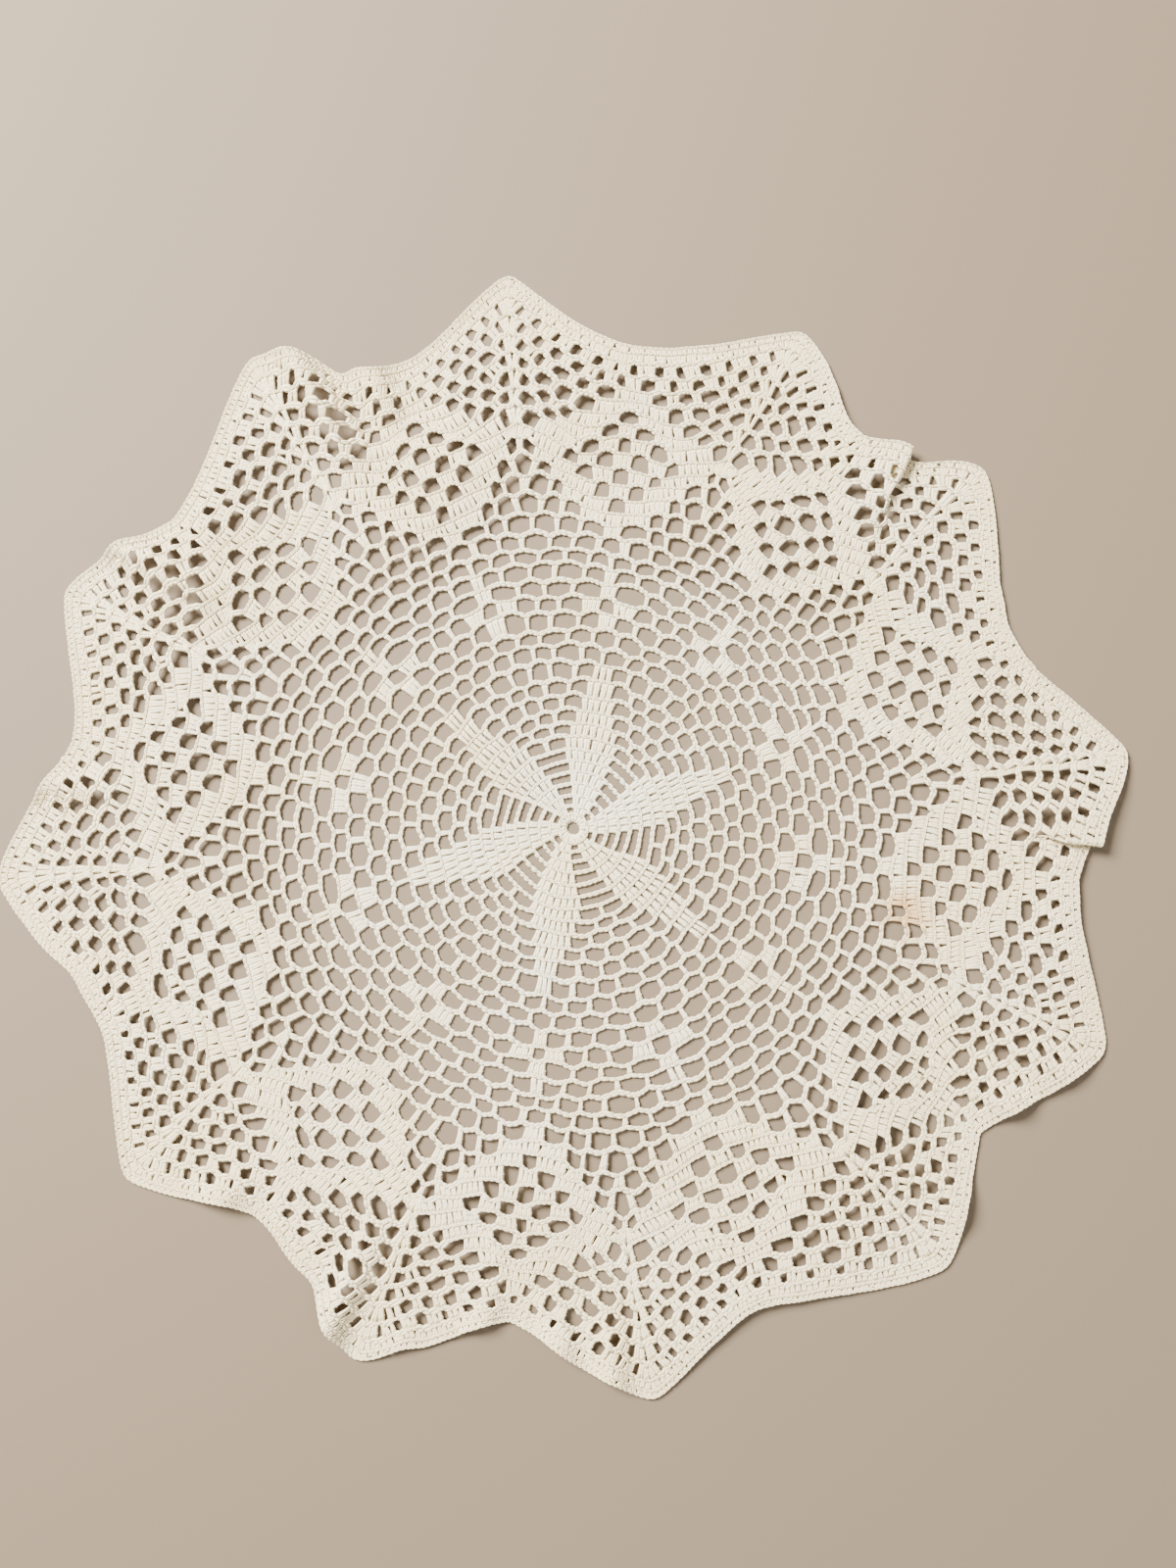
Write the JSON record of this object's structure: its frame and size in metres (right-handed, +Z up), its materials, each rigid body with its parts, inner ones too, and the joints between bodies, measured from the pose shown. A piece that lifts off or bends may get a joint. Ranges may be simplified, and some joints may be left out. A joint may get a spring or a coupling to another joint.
{
  "type": "crocheted lace doily",
  "caption": "Large round crocheted cotton doily with a petal star, net rings, scallop medallions and a pointed rim, lying flat with small rim folds.",
  "frame": {"origin": "on the surface that the doily lies on, under the middle of its bounding box", "axes": "+Z up, square to the surface it lies on; +Y towards the top of the doily as it is laid, +X to its right"},
  "size_m": [0.6045, 0.6018, 0.0138],
  "materials": {
    "cotton": "matt white cotton crochet yarn"
  },
  "bodies": {
    "root": {"lace_doily": "cotton"}
  },
  "joints": []
}
